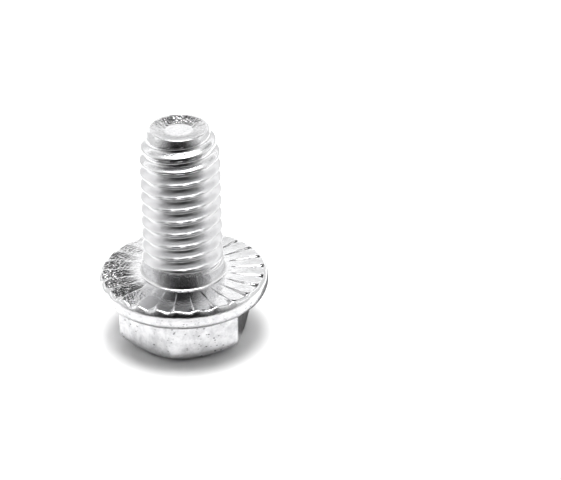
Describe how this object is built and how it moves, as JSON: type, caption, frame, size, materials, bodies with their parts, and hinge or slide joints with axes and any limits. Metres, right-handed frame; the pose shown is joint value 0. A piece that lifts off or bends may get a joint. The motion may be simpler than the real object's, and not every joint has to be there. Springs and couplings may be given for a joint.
{
  "type": "flange bolt",
  "caption": "Hex flange bolt with a serrated bearing face, a short plain neck, a coarse right-hand thread and a cupped point; it clamps a part and resists loosening.",
  "frame": {"origin": "on the bolt's axis, level with the rim of the head that it stands on", "axes": "+Z along the bolt's axis from the head towards the threaded tip; +X through a corner of the hexagon"},
  "size_m": [0.02, 0.02, 0.0271],
  "materials": {
    "zinc_plated_steel": "bright zinc plating on carbon steel, neutral silver, slightly grainy"
  },
  "bodies": {
    "root": {"flange_bolt": "zinc_plated_steel"}
  },
  "joints": []
}
